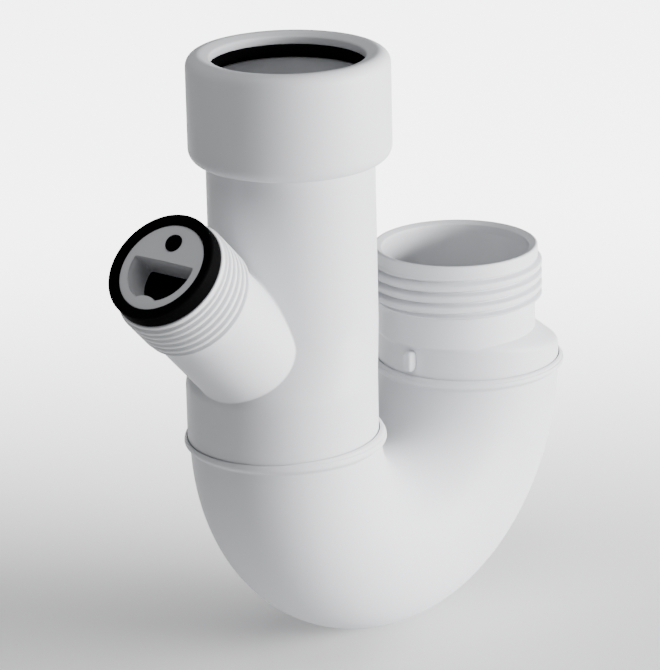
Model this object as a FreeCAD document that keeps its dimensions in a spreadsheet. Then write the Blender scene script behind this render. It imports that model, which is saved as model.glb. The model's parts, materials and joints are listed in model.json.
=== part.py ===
import FreeCAD, Part
import math
import os
import Sketcher

# Appliance trap: a washing machine trap with a pipe socket, a hose branch and a threaded outlet.
# Origin on the socket's axis at its mouth, +Z up, +X towards the outlet. Millimetres.

doc = FreeCAD.newDocument("appliance_trap")
sheet = doc.addObject("Spreadsheet::Sheet", "sizes")

driving = {
    # Inlet socket and tube
    "collar_radius": 26.6,
    "collar_height": 27.5,
    "collar_crest": 0.95,
    "collar_top_round": 3.0,
    "collar_foot_round": 3.7,
    "mouth_radius": 23.4,
    "socket_radius": 20.25,
    "socket_depth": 42.0,
    "seal_top": 2.2,
    "seal_height": 3.6,
    "seal_groove_radius": 23.6,
    "seal_lip_radius": 20.1,
    "seal_lip_top": 3.9,
    "seal_lip_foot": 4.8,
    "seal_heel": 5.3,
    "seal_heel_radius": 20.65,
    "seal_gap": 0.1,
    "tube_radius": 22.1,
    "tube_bore_radius": 19.4,
    "lean_top": 45.0,
    "lean_foot": 92.0,
    # Barrels that sit in the cups of the bend
    "barrel_radius": 25.3,
    "barrel_bore_radius": 22.8,
    "inlet_barrel_shift": 5.8,
    "seat_level": 102.6,
    "cup_gap": 0.1,
    # Bend
    "bend_level": 102.0,
    "bend_radius": 40.0,
    "inlet_leg_shift": 4.9,
    "bead_radius": 26.75,
    "bead_top": 101.4,
    "bead_waist": 102.5,
    "bead_foot": 103.6,
    "bead_round": 0.7,
    # Outlet
    "outlet_barrel_shift": 74.15,
    "neck_shift": 70.0,
    "neck_radius": 21.9,
    "outlet_top": 68.05,
    "outlet_seat_radius": 22.0,
    "outlet_seat_depth": 0.75,
    "outlet_rim_radius": 22.75,
    "outlet_bore_radius": 20.4,
    "outlet_throat_radius": 19.2,
    "outlet_thread_radius": 23.9,
    "outlet_thread_top": 71.6,
    "outlet_thread_foot": 84.4,
    "shoulder_top": 91.3,
    "shelf_level": 95.3,
    "shelf_foot": 98.7,
    "shelf_share": 0.54,
    "inner_slope_top": 97.1,
    "inner_slope_foot": 101.4,
    "rib_width": 2.2,
    "rib_top": 94.1,
    "rib_foot": 99.8,
    "rib_proud": 1.5,
    "rim_round": 0.6,
    "thread_slope": 1.2,
    # Branch, measured along its own axis from where that axis meets the tube's
    "branch_level": 95.4,
    "branch_angle": 45.0,
    "branch_neck_radius": 14.8,
    "branch_thread_radius": 16.1,
    "branch_thread_start": 53.2,
    "branch_thread_end": 66.8,
    "branch_lead_radius": 15.5,
    "branch_end": 69.2,
    "branch_bore_radius": 12.35,
    "branch_inner_radius": 11.0,
    "branch_ledge": 56.0,
    "branch_blend": 1.5,
    "branch_root": 15.0,
    # Gasket, plug and flap on the branch's axis
    "gasket_inner_radius": 12.5,
    "gasket_radius": 15.35,
    "gasket_length": 4.45,
    "gasket_round": 0.6,
    "plug_radius": 12.3,
    "plug_face": 72.7,
    "chamber_radius": 10.9,
    "chamber_end": 64.7,
    "port_radius": 9.6,
    "port_flat": 1.6,
    "lug_radius": 5.2,
    "lug_centre": 13.4,
    "lug_foot": 10.5,
    "peg_radius": 2.15,
    "peg_height": 7.1,
    "peg_gap": 0.05,
    "flap_radius": 10.4,
    "flap_thickness": 1.2,
    "flap_gap": 0.1,
    "hinge_height": 3.2,
    "hinge_gap": 0.25,
    "hinge_half_length": 9.7,
}

for row, (alias, value) in enumerate(driving.items(), 1):
    sheet.set("A%d" % row, alias)
    sheet.set("B%d" % row, str(value))
    sheet.setAlias("B%d" % row, alias)
doc.recompute()


def cell(words):
    # Writes each driving name in an expression as a cell of the sheet
    parts = words.replace("(", " ( ").replace(")", " ) ").split()
    return " ".join("sizes." + part if part in driving else part for part in parts)


def number(words):
    return float(sheet.evalExpression(cell(words)))


def make_body(label):
    body = doc.addObject("PartDesign::Body", label)
    body.Label = label
    return body


def plane_of(body, role):
    return next(item for item in body.Origin.OriginFeatures if item.Role == role)


def new_sketch(body, name, role, across="0", along="0", height="0", turn="0"):
    # A sketch on one of the body's own planes, moved and turned by expressions
    sketch = body.newObject("Sketcher::SketchObject", name)
    sketch.AttachmentSupport = (plane_of(body, role), [""])
    sketch.MapMode = "FlatFace"
    sketch.AttachmentOffset = FreeCAD.Placement(
        FreeCAD.Vector(0, 0, 0), FreeCAD.Rotation(FreeCAD.Vector(0, 0, 1), number(turn))
    )
    for axis, words in zip("xyz", (across, along, height)):
        sketch.setExpression("AttachmentOffset.Base." + axis, cell(words))
    sketch.setExpression("AttachmentOffset.Rotation.Angle", cell(turn))
    return sketch


def pin_point(sketch, geometry, end, across, along):
    # Ties one point of a sketch to two expressions, or to an axis where it lies on one
    for kind, words, axis in (("DistanceX", across, -2), ("DistanceY", along, -1)):
        value = number(words)
        if abs(value) < 1e-9:
            sketch.addConstraint(Sketcher.Constraint("PointOnObject", geometry, end, axis))
            continue
        index = sketch.addConstraint(Sketcher.Constraint(kind, -1, 1, geometry, end, value))
        sketch.setExpression("Constraints[%d]" % index, cell(words))


def add_outline(sketch, corners):
    # A closed outline of straight edges through corners given as pairs of expressions
    places = [FreeCAD.Vector(number(across), number(along), 0) for across, along in corners]
    first = sketch.GeometryCount
    for start, end in zip(places, places[1:] + places[:1]):
        sketch.addGeometry(Part.LineSegment(start, end), False)
    for step, (across, along) in enumerate(corners):
        after = first + (step + 1) % len(corners)
        sketch.addConstraint(Sketcher.Constraint("Coincident", first + step, 2, after, 1))
        pin_point(sketch, first + step, 1, across, along)
    return sketch


def add_circle(sketch, radius, across="0", along="0"):
    centre = FreeCAD.Vector(number(across), number(along), 0)
    circle = Part.Circle(centre, FreeCAD.Vector(0, 0, 1), number(radius))
    item = sketch.addGeometry(circle, False)
    index = sketch.addConstraint(Sketcher.Constraint("Radius", item, number(radius)))
    sketch.setExpression("Constraints[%d]" % index, cell(radius))
    pin_point(sketch, item, 3, across, along)
    return sketch


def add_segment(sketch, radius, flat, upper):
    # The part of a circle on one side of a straight line across it, at a distance from its centre
    size = number(radius)
    turn = math.acos(number(flat) / size)
    start, end = (-turn, turn) if upper else (turn, 2 * math.pi - turn)
    whole = Part.Circle(FreeCAD.Vector(0, 0, 0), FreeCAD.Vector(0, 0, 1), size)
    arc = Part.ArcOfCircle(whole, start, end)
    sketch.addGeometry(arc, False)
    sketch.addGeometry(Part.LineSegment(arc.EndPoint, arc.StartPoint), False)
    sketch.addConstraint(Sketcher.Constraint("Coincident", 0, 3, -1, 1))
    sketch.addConstraint(Sketcher.Constraint("Coincident", 0, 2, 1, 1))
    sketch.addConstraint(Sketcher.Constraint("Coincident", 1, 2, 0, 1))
    sketch.addConstraint(Sketcher.Constraint("Vertical", 1))
    for kind, owner, words in (("Radius", (0,), radius), ("DistanceX", (-1, 1, 1, 1), flat)):
        index = sketch.addConstraint(Sketcher.Constraint(kind, *owner, number(words)))
        sketch.setExpression("Constraints[%d]" % index, cell(words))
    return sketch


def spin(body, name, kind, sketch):
    # Revolution or Groove of a sketch about its own upright axis
    feature = body.newObject("PartDesign::" + kind, name)
    feature.Profile = sketch
    feature.ReferenceAxis = (sketch, ["V_Axis"])
    feature.Angle = 360
    sketch.Visibility = False
    doc.recompute()
    return feature


def raise_sketch(body, name, kind, sketch, length, downwards=False):
    # Pad or Pocket of a sketch by a length given as an expression
    feature = body.newObject("PartDesign::" + kind, name)
    feature.Profile = sketch
    feature.setExpression("Length", cell(length))
    feature.Reversed = downwards
    sketch.Visibility = False
    doc.recompute()
    return feature


def loft(body, name, kind, sketches, straight=True):
    # A solid or a hollow through a row of sketches, with straight or flowing sides
    feature = body.newObject("PartDesign::" + kind, name)
    feature.Profile = sketches[0]
    feature.Sections = sketches[1:]
    feature.Ruled = straight
    for sketch in sketches:
        sketch.Visibility = False
    doc.recompute()
    return feature


def sweep(body, name, kind, profile, spine):
    feature = body.newObject("PartDesign::" + kind, name)
    feature.Profile = profile
    feature.Spine = (spine, ["Edge1"])
    doc.recompute()
    return feature


def ring_edges(shape, radius, level):
    # Names of the full circles of one radius at one height
    close = 1e-4
    found = []
    for count, edge in enumerate(shape.Edges, 1):
        curve = edge.Curve
        if not isinstance(curve, Part.Circle):
            continue
        if abs(curve.Radius - number(radius)) < close and abs(curve.Center.z - number(level)) < close:
            found.append("Edge%d" % count)
    return found


def round_edges(body, name, base, edges, radius):
    feature = body.newObject("PartDesign::Fillet", name)
    feature.Base = (base, edges)
    feature.setExpression("Radius", cell(radius))
    doc.recompute()
    return feature


def on_branch(body):
    # Turns a body drawn about its own Z axis to lie along the branch
    body.Placement.Rotation = FreeCAD.Rotation(FreeCAD.Vector(0, 1, 0), -number("branch_angle"))
    body.setExpression("Placement.Base.z", cell("- branch_level"))
    body.setExpression("Placement.Rotation.Angle", cell("- branch_angle"))


def shoulder_circle(body, name, share, level):
    # A circle part of the way from the outlet's neck to its barrel, share 0 to 1, at a height
    across = "neck_shift + %.4f * ( outlet_barrel_shift - neck_shift )" % share
    radius = "neck_radius + %.4f * ( barrel_radius - neck_radius )" % share
    return add_circle(new_sketch(body, name, "XY_Plane", across, height=level), radius)


# Inlet body: collar, tube, leaning barrel and branch, moulded in one piece
inlet = make_body("inlet_body")
collar_sketch = add_outline(
    new_sketch(inlet, "collar_profile", "XZ_Plane"),
    [
        ("0", "collar_crest"),
        ("collar_radius", "collar_crest"),
        ("collar_radius", "- collar_height"),
        ("tube_radius", "- collar_height"),
        ("tube_radius", "- lean_top"),
        ("0", "- lean_top"),
    ],
)
collar = spin(inlet, "collar_and_tube", "Revolution", collar_sketch)
lean_start = add_circle(new_sketch(inlet, "lean_start", "XY_Plane", height="- lean_top"), "tube_radius")
lean_end = add_circle(
    new_sketch(inlet, "lean_end", "XY_Plane", "- inlet_barrel_shift", height="- lean_foot"), "barrel_radius"
)
loft(inlet, "leaning_tube", "AdditiveLoft", [lean_start, lean_end])
barrel_sketch = add_circle(
    new_sketch(inlet, "barrel_circle", "XY_Plane", "- inlet_barrel_shift", height="- lean_foot"),
    "barrel_radius",
)
raise_sketch(inlet, "inlet_barrel", "Pad", barrel_sketch, "seat_level - lean_foot", downwards=True)
branch_sketch = add_outline(
    new_sketch(inlet, "branch_profile", "XZ_Plane", along="- branch_level", turn="branch_angle"),
    [
        ("0", "branch_root"),
        ("branch_neck_radius", "branch_root"),
        ("branch_neck_radius", "branch_thread_start"),
        ("branch_thread_radius", "branch_thread_start + thread_slope"),
        ("branch_thread_radius", "branch_thread_end - thread_slope"),
        ("branch_lead_radius", "branch_thread_end"),
        ("branch_lead_radius", "branch_end"),
        ("0", "branch_end"),
    ],
)
branch = spin(inlet, "branch", "Revolution", branch_sketch)

# The root of the branch is blended into the wall where the two surfaces cross
root_edges = []
for count, edge in enumerate(branch.Shape.Edges, 1):
    if isinstance(edge.Curve, Part.BSplineCurve):
        root_edges.append("Edge%d" % count)
blend = round_edges(inlet, "branch_root", branch, root_edges, "branch_blend")
collar_top = round_edges(
    inlet, "collar_top", blend, ring_edges(blend.Shape, "collar_radius", "collar_crest"), "collar_top_round"
)
round_edges(
    inlet,
    "collar_foot",
    collar_top,
    ring_edges(collar_top.Shape, "collar_radius", "- collar_height"),
    "collar_foot_round",
)

# Waterways through the inlet body
socket_sketch = add_outline(
    new_sketch(inlet, "socket_profile", "XZ_Plane"),
    [
        ("0", "collar_crest"),
        ("mouth_radius", "collar_crest"),
        ("socket_radius", "0"),
        ("socket_radius", "- seal_top"),
        ("seal_groove_radius", "- seal_top"),
        ("seal_groove_radius", "- seal_top - seal_height"),
        ("socket_radius", "- seal_top - seal_height"),
        ("socket_radius", "- socket_depth"),
        ("tube_bore_radius", "- socket_depth"),
        ("tube_bore_radius", "- lean_top"),
        ("0", "- lean_top"),
    ],
)
spin(inlet, "socket", "Groove", socket_sketch)
bore_start = add_circle(new_sketch(inlet, "bore_start", "XY_Plane", height="- lean_top"), "tube_bore_radius")
bore_end = add_circle(
    new_sketch(inlet, "bore_end", "XY_Plane", "- inlet_barrel_shift", height="- lean_foot"),
    "barrel_bore_radius",
)
loft(inlet, "leaning_bore", "SubtractiveLoft", [bore_start, bore_end])
barrel_bore = add_circle(
    new_sketch(inlet, "barrel_bore_circle", "XY_Plane", "- inlet_barrel_shift", height="- lean_foot"),
    "barrel_bore_radius",
)
raise_sketch(inlet, "barrel_bore", "Pocket", barrel_bore, "seat_level - lean_foot")
branch_bore_sketch = add_outline(
    new_sketch(inlet, "branch_bore_profile", "XZ_Plane", along="- branch_level", turn="branch_angle"),
    [
        ("0", "0"),
        ("branch_inner_radius", "0"),
        ("branch_inner_radius", "branch_ledge"),
        ("branch_bore_radius", "branch_ledge"),
        ("branch_bore_radius", "branch_end"),
        ("0", "branch_end"),
    ],
)
spin(inlet, "branch_bore", "Groove", branch_bore_sketch)

# Lip seal, drawn as it sits round a pipe, with its lip leaning down into the socket
seal = make_body("inlet_lip_seal")
seal_sketch = add_outline(
    new_sketch(seal, "seal_profile", "XZ_Plane"),
    [
        ("seal_groove_radius - seal_gap", "- seal_top - seal_gap"),
        ("seal_groove_radius - seal_gap", "- seal_top - seal_height"),
        ("seal_heel_radius", "- seal_top - seal_height"),
        ("seal_heel_radius", "- seal_heel"),
        ("seal_lip_radius", "- seal_lip_foot"),
        ("seal_lip_radius", "- seal_lip_top"),
        ("socket_radius", "- seal_top - seal_gap"),
    ],
)
spin(seal, "seal_ring", "Revolution", seal_sketch)

# Bend: a half turn of pipe with a raised cup at each end
bend = make_body("trap_bend")
spine = new_sketch(bend, "bend_line", "XZ_Plane", "bend_radius - inlet_leg_shift", "- bend_level")
half_turn = Part.ArcOfCircle(
    Part.Circle(FreeCAD.Vector(0, 0, 0), FreeCAD.Vector(0, 0, 1), number("bend_radius")), math.pi, 2 * math.pi
)
spine.addGeometry(half_turn, False)
spine.addConstraint(Sketcher.Constraint("Coincident", 0, 3, -1, 1))
spine.addConstraint(Sketcher.Constraint("PointOnObject", 0, 1, -1))
spine.addConstraint(Sketcher.Constraint("PointOnObject", 0, 2, -1))
radius_index = spine.addConstraint(Sketcher.Constraint("Radius", 0, number("bend_radius")))
spine.setExpression("Constraints[%d]" % radius_index, cell("bend_radius"))
pipe_circle = add_circle(
    new_sketch(bend, "pipe_circle", "XY_Plane", "- inlet_leg_shift", height="- bend_level"), "barrel_radius"
)
sweep(bend, "pipe", "AdditivePipe", pipe_circle, spine)

outlet_leg = "2 * bend_radius - inlet_leg_shift"
for side, leg in (("inlet", "- inlet_leg_shift"), ("outlet", outlet_leg)):
    bead_sketch = add_outline(
        new_sketch(bend, side + "_bead_profile", "XZ_Plane", leg),
        [
            ("barrel_bore_radius + cup_gap", "- bead_top"),
            ("bead_radius - bead_round", "- bead_top"),
            ("bead_radius", "- bead_top - bead_round"),
            ("bead_radius", "- bead_waist"),
            ("barrel_radius - cup_gap", "- bead_foot"),
            ("barrel_bore_radius + cup_gap", "- bead_foot"),
        ],
    )
    spin(bend, side + "_bead", "Revolution", bead_sketch)

bore_circle = add_circle(
    new_sketch(bend, "bore_circle", "XY_Plane", "- inlet_leg_shift", height="- bend_level"),
    "barrel_bore_radius",
)
sweep(bend, "waterway", "SubtractivePipe", bore_circle, spine)
for side, axis in (("inlet", "- inlet_barrel_shift"), ("outlet", "outlet_barrel_shift")):
    cup_circle = add_circle(
        new_sketch(bend, side + "_cup_circle", "XY_Plane", axis, height="- bead_top"),
        "barrel_radius + cup_gap",
    )
    raise_sketch(bend, side + "_cup", "Pocket", cup_circle, "seat_level - bead_top")

# Outlet adapter: a barrel with an eccentric threaded neck, close to flush on the side of the inlet
outlet = make_body("outlet_adapter")
outlet_barrel_circle = add_circle(
    new_sketch(outlet, "outlet_barrel_circle", "XY_Plane", "outlet_barrel_shift", height="- seat_level"),
    "barrel_radius",
)
raise_sketch(outlet, "outlet_barrel", "Pad", outlet_barrel_circle, "seat_level - shelf_foot")

# The shoulder grows out of the neck in a hollow quarter turn and rounds over to the barrel in a full one
shelf_share = number("shelf_share")
shoulder = []
for degrees in (0, 30, 60, 90):
    rise, fall = math.sin(math.radians(degrees)), 1 - math.cos(math.radians(degrees))
    level = "- shoulder_top - %.4f * ( shelf_level - shoulder_top )" % rise
    shoulder.append(shoulder_circle(outlet, "hollow_%d" % degrees, shelf_share * fall, level))
for degrees in (30, 60, 90):
    rise, fall = math.sin(math.radians(degrees)), 1 - math.cos(math.radians(degrees))
    level = "- shelf_level - %.4f * ( shelf_foot - shelf_level )" % fall
    share = shelf_share + (1 - shelf_share) * rise
    shoulder.append(shoulder_circle(outlet, "round_%d" % degrees, share, level))
loft(outlet, "shoulder", "AdditiveLoft", shoulder, straight=False)
neck_sketch = add_outline(
    new_sketch(outlet, "neck_profile", "XZ_Plane", "neck_shift"),
    [
        ("0", "- outlet_top"),
        ("outlet_rim_radius", "- outlet_top"),
        ("outlet_rim_radius", "- outlet_thread_top"),
        ("outlet_thread_radius", "- outlet_thread_top - thread_slope"),
        ("outlet_thread_radius", "- outlet_thread_foot + thread_slope"),
        ("neck_radius", "- outlet_thread_foot"),
        ("neck_radius", "- shoulder_top"),
        ("0", "- shoulder_top"),
    ],
)
spin(outlet, "neck", "Revolution", neck_sketch)
rib_sketch = add_outline(
    new_sketch(outlet, "rib_outline", "XY_Plane", "outlet_barrel_shift", height="- rib_foot"),
    [
        ("- barrel_radius - rib_proud", "- rib_width / 2"),
        ("- barrel_radius + rib_proud", "- rib_width / 2"),
        ("- barrel_radius + rib_proud", "rib_width / 2"),
        ("- barrel_radius - rib_proud", "rib_width / 2"),
    ],
)
raise_sketch(outlet, "alignment_rib", "Pad", rib_sketch, "rib_foot - rib_top")
outlet_bore_sketch = add_outline(
    new_sketch(outlet, "outlet_bore_profile", "XZ_Plane", "neck_shift"),
    [
        ("0", "- outlet_top"),
        ("outlet_seat_radius", "- outlet_top"),
        ("outlet_bore_radius", "- outlet_top - outlet_seat_depth"),
        ("outlet_bore_radius", "- outlet_thread_top"),
        ("outlet_throat_radius", "- outlet_thread_foot"),
        ("outlet_throat_radius", "- inner_slope_top"),
        ("0", "- inner_slope_top"),
    ],
)
spin(outlet, "outlet_bore", "Groove", outlet_bore_sketch)
slope_start = add_circle(
    new_sketch(outlet, "slope_start", "XY_Plane", "neck_shift", height="- inner_slope_top"),
    "outlet_throat_radius",
)
slope_end = add_circle(
    new_sketch(outlet, "slope_end", "XY_Plane", "outlet_barrel_shift", height="- inner_slope_foot"),
    "barrel_bore_radius",
)
loft(outlet, "inner_slope", "SubtractiveLoft", [slope_start, slope_end])
outlet_barrel_bore = add_circle(
    new_sketch(outlet, "outlet_barrel_bore_circle", "XY_Plane", "outlet_barrel_shift", height="- inner_slope_foot"),
    "barrel_bore_radius",
)
outlet_hollow = raise_sketch(
    outlet, "outlet_barrel_bore", "Pocket", outlet_barrel_bore, "seat_level - inner_slope_foot"
)
rim_edges = ring_edges(outlet_hollow.Shape, "outlet_rim_radius", "- outlet_top")
round_edges(outlet, "outlet_rim", outlet_hollow, rim_edges, "rim_round")

# Gasket on the end of the branch
gasket = make_body("branch_gasket")
gasket_sketch = add_outline(
    new_sketch(gasket, "gasket_profile", "XZ_Plane"),
    [
        ("gasket_inner_radius", "branch_end"),
        ("gasket_radius", "branch_end"),
        ("gasket_radius", "branch_end + gasket_length - gasket_round"),
        ("gasket_radius - gasket_round", "branch_end + gasket_length"),
        ("gasket_inner_radius", "branch_end + gasket_length"),
    ],
)
spin(gasket, "gasket_ring", "Revolution", gasket_sketch)
on_branch(gasket)

# Plug with a chamber behind and a D-shaped port through its face
plug = make_body("valve_insert")
plug_sketch = add_outline(
    new_sketch(plug, "plug_profile", "XZ_Plane"),
    [
        ("0", "chamber_end"),
        ("chamber_radius", "chamber_end"),
        ("chamber_radius", "branch_ledge"),
        ("plug_radius", "branch_ledge"),
        ("plug_radius", "plug_face"),
        ("0", "plug_face"),
    ],
)
spin(plug, "plug_shell", "Revolution", plug_sketch)

port_sketch = add_segment(
    new_sketch(plug, "port_outline", "XY_Plane", height="plug_face"), "port_radius", "port_flat", upper=False
)
raise_sketch(plug, "port", "Pocket", port_sketch, "plug_face - chamber_end")
lug_sketch = add_segment(
    new_sketch(plug, "lug_outline", "XY_Plane", "- lug_centre", height="chamber_end"),
    "lug_radius",
    "lug_centre - lug_foot",
    upper=True,
)
raise_sketch(plug, "port_lug", "Pad", lug_sketch, "plug_face - chamber_end")
peg_hole = add_circle(
    new_sketch(plug, "peg_hole_circle", "XY_Plane", height="plug_face"), "peg_radius + peg_gap", "peg_height"
)
raise_sketch(plug, "peg_hole", "Pocket", peg_hole, "plug_face - chamber_end")
on_branch(plug)

# Fixed half of the rubber flap, with the peg that holds it in the plug
tab = make_body("flap_tab")
tab_sketch = add_segment(
    new_sketch(tab, "tab_outline", "XY_Plane", height="chamber_end - flap_thickness"),
    "flap_radius",
    "hinge_height + flap_thickness / 2 + hinge_gap",
    upper=True,
)
raise_sketch(tab, "tab_plate", "Pad", tab_sketch, "flap_thickness")
peg_circle = add_circle(
    new_sketch(tab, "peg_circle", "XY_Plane", height="chamber_end"), "peg_radius", "peg_height"
)
raise_sketch(tab, "peg", "Pad", peg_circle, "plug_face - chamber_end")
on_branch(tab)

# Moving half of the flap, with a round edge about the line where the rubber flexes
flap = make_body("valve_flap")
flap_sketch = add_segment(
    new_sketch(flap, "flap_outline", "XY_Plane", height="chamber_end - flap_gap - flap_thickness"),
    "flap_radius",
    "hinge_height",
    upper=False,
)
raise_sketch(flap, "flap_plate", "Pad", flap_sketch, "flap_thickness")
edge_sketch = add_circle(
    new_sketch(flap, "flap_edge_circle", "XZ_Plane", height="- hinge_half_length"),
    "flap_thickness / 2",
    "hinge_height",
    "chamber_end - flap_gap - flap_thickness / 2",
)
raise_sketch(flap, "flap_edge", "Pad", edge_sketch, "2 * hinge_half_length")
on_branch(flap)

doc.recompute()

failed = [item.Label for item in doc.Objects if "Invalid" in item.State or "Error" in item.State]
if failed:
    raise RuntimeError("these did not build: " + ", ".join(failed))
bodies = [item for item in doc.Objects if item.TypeId == "PartDesign::Body"]
for body in bodies:
    if body.Shape.isNull() or not body.Shape.isValid() or len(body.Shape.Solids) != 1:
        raise RuntimeError(body.Label + " is not one valid solid")
os.makedirs("parts", exist_ok=True)
for body in bodies:
    body.Shape.exportStep("parts/" + body.Label + ".step")
    print(body.Label, round(body.Shape.Volume), body.Shape.BoundBox)
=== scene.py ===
import json
import bmesh
import bpy
import numpy as np
from mathutils import Matrix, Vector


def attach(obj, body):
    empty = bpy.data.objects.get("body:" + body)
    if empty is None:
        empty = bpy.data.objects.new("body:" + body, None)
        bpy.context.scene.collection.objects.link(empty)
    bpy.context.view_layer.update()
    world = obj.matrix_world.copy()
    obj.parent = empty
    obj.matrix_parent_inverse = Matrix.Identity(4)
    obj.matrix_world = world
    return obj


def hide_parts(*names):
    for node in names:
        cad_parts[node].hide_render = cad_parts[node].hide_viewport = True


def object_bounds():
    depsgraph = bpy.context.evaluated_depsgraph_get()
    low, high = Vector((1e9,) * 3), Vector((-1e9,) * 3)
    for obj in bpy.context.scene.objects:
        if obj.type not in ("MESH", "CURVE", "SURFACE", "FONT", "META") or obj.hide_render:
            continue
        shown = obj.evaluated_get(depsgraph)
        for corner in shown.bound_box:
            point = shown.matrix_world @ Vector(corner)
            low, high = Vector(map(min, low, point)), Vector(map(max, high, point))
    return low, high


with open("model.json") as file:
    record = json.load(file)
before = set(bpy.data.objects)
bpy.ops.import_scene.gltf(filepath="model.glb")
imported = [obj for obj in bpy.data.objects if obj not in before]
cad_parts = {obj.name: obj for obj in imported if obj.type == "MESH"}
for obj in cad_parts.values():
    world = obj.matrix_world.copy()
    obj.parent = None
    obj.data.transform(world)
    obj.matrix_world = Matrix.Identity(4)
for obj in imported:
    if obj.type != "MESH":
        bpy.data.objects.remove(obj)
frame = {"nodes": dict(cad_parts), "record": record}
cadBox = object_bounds()
mounts = {mount["name"]: mount for mount in frame["record"]["mounts"]}
mm = 0.001                     # shapes are worked out in millimetres and stored in metres
print("frame:", ", ".join(sorted(frame["nodes"])))

# the branch's own directions: outwards along it, up across it, and sideways
branchMount = mounts["branch_thread"]
branchOut = np.array(branchMount["axis"])
branchUp = np.array([-branchOut[0], 0, branchOut[2]])
branchSide = np.array([0.0, 1.0, 0.0])
branchSpot = np.array(branchMount["pos_m"]) / mm
branchStart = branchSpot - branchOut * branchSpot[0] / branchOut[0]   # where its axis meets the tube's


# Mesh helpers

meshing = {"weldStep": 1.37e-6, "sharpAngle": 33}


def gridQuads(rows, columns, wrapRows=False):
    # corner numbers of a grid that closes round its columns, and round its rows if asked
    ids = np.arange(rows * columns).reshape(rows, columns)
    here = ids if wrapRows else ids[:-1]
    below = np.roll(ids, -1, 0) if wrapRows else ids[1:]
    return np.stack([here, below, np.roll(below, -1, 1), np.roll(here, -1, 1)], -1)


def sheet(points, wrapRows=False):
    return points, gridQuads(points.shape[0], points.shape[1], wrapRows)


def welded(points, quads):
    # points closer than the weld step become one, and a quad with a closed side becomes a triangle
    key = np.round(points / meshing["weldStep"]).astype(np.int64)
    _, first, back = np.unique(key, axis=0, return_index=True, return_inverse=True)
    quads = back.reshape(-1)[quads]
    closedSide = quads == np.roll(quads, -1, 1)
    full = quads[~closedSide.any(1)]
    slim = quads[closedSide.sum(1) == 1]
    triangles = slim[~(slim == np.roll(slim, -1, 1))].reshape(-1, 3)
    return points[first], full.tolist() + triangles.tolist()


def makePiece(name, sheets, material, slot, body, *nodes):
    points = np.concatenate([spots.reshape(-1, 3) for spots, _ in sheets]) * mm
    starts = np.cumsum([0] + [spots.size // 3 for spots, _ in sheets])
    quads = np.concatenate([faces.reshape(-1, 4) + start for (_, faces), start in zip(sheets, starts)])
    points, faces = welded(points, quads)
    mesh = bpy.data.meshes.new(name)
    mesh.from_pydata(points, [], faces)
    shell = bmesh.new()
    shell.from_mesh(mesh)
    bmesh.ops.recalc_face_normals(shell, faces=shell.faces)
    shell.to_mesh(mesh)
    shell.free()
    mesh.shade_smooth()
    mesh.set_sharp_from_angle(angle=np.radians(meshing["sharpAngle"]))
    mesh.materials.append(material)
    piece = bpy.data.objects.new(name, mesh)
    bpy.context.scene.collection.objects.link(piece)
    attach(piece, body)
    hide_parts(*nodes)
    print("piece:", name, len(mesh.polygons), "faces")
    return piece


# Outline helpers

def roundedPath(corners, arcSteps=7):
    # straight runs through the corners, and at each corner an arc of its radius that touches both runs
    path = [np.array([corners[0][:2]], float)]
    for before, (across, along, radius), after in zip(corners, corners[1:], corners[2:]):
        spot = np.array([across, along], float)
        if radius == 0:
            path.append(spot[None])
            continue
        back = np.array(before[:2]) - spot
        ahead = np.array(after[:2]) - spot
        back /= np.linalg.norm(back)
        ahead /= np.linalg.norm(ahead)
        half = np.arccos(back @ ahead) / 2
        centre = spot + (back + ahead) / np.linalg.norm(back + ahead) * radius / np.sin(half)
        start = spot + back * radius / np.tan(half) - centre
        end = spot + ahead * radius / np.tan(half) - centre
        sweep = np.pi - 2 * half
        share = np.linspace(0, 1, arcSteps)[:, None]
        path.append(centre + (np.sin((1 - share) * sweep) * start + np.sin(share * sweep) * end) / np.sin(sweep))
    path.append(np.array([corners[-1][:2]], float))
    return np.concatenate(path)


def closedPath(corners, arcSteps=7):
    # the same round a closed outline, which starts halfway along its last side
    middle = tuple((np.array(corners[-1][:2]) + np.array(corners[0][:2])) / 2) + (0,)
    return roundedPath([middle] + corners + [middle], arcSteps)[:-1]


def smoothStep(value):
    value = np.clip(value, 0, 1)
    return value * value * (3 - 2 * value)


def easedRamp(value, ease):
    # level ground, then a straight rise, with the corner between them rounded
    return np.where(value > ease, value, np.maximum(value + ease, 0) ** 2 / (4 * ease))


def softMin(first, second, width):
    # the smaller of two, with the corner between them rounded over a width
    blend = np.clip(0.5 + 0.5 * (second - first) / width, 0, 1)
    return second + (first - second) * blend - width * blend * (1 - blend)


def ridges(turns, narrowness):
    # one turn of a thread: a broad round ridge and a narrow groove
    return 1 - (0.5 + 0.5 * np.cos(2 * np.pi * turns)) ** narrowness


def frameEdge(columns, rows):
    # the edge of a rectangle of grid lines, clockwise from the middle of its first row
    middle = len(columns) // 2
    sides = [
        (columns[middle:-1], rows[0]),
        (columns[-1], rows[:-1]),
        (columns[:0:-1], rows[-1]),
        (columns[0], rows[:0:-1]),
        (columns[:middle], rows[0]),
    ]
    return np.concatenate([np.stack(np.broadcast_arrays(*side), -1) for side in sides])


def edgeTurn(edge, columns, rows):
    # direction of each edge point from the rectangle's middle, 0 at the first row, as in a square
    across = (edge[:, 0] - (columns[0] + columns[-1]) / 2) / (columns[-1] - columns[0])
    along = (edge[:, 1] - (rows[0] + rows[-1]) / 2) / (rows[0] - rows[-1])
    return np.arctan2(across, along)


def ringsRoundWindow(surface, rim, edge, ringCount):
    # rings of wall that pass from a window's rim to the rectangle that was left out of the grid
    share = np.linspace(0, 1, ringCount)[:, None, None]
    spots = rim * (1 - share) + edge * share
    return sheet(surface(spots[..., 0], spots[..., 1]))


def lathe(path, turns, place):
    # a profile of radius and height carried round an axis
    return place(path[:, 0][:, None], turns[None, :], path[:, 1][:, None])


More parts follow.
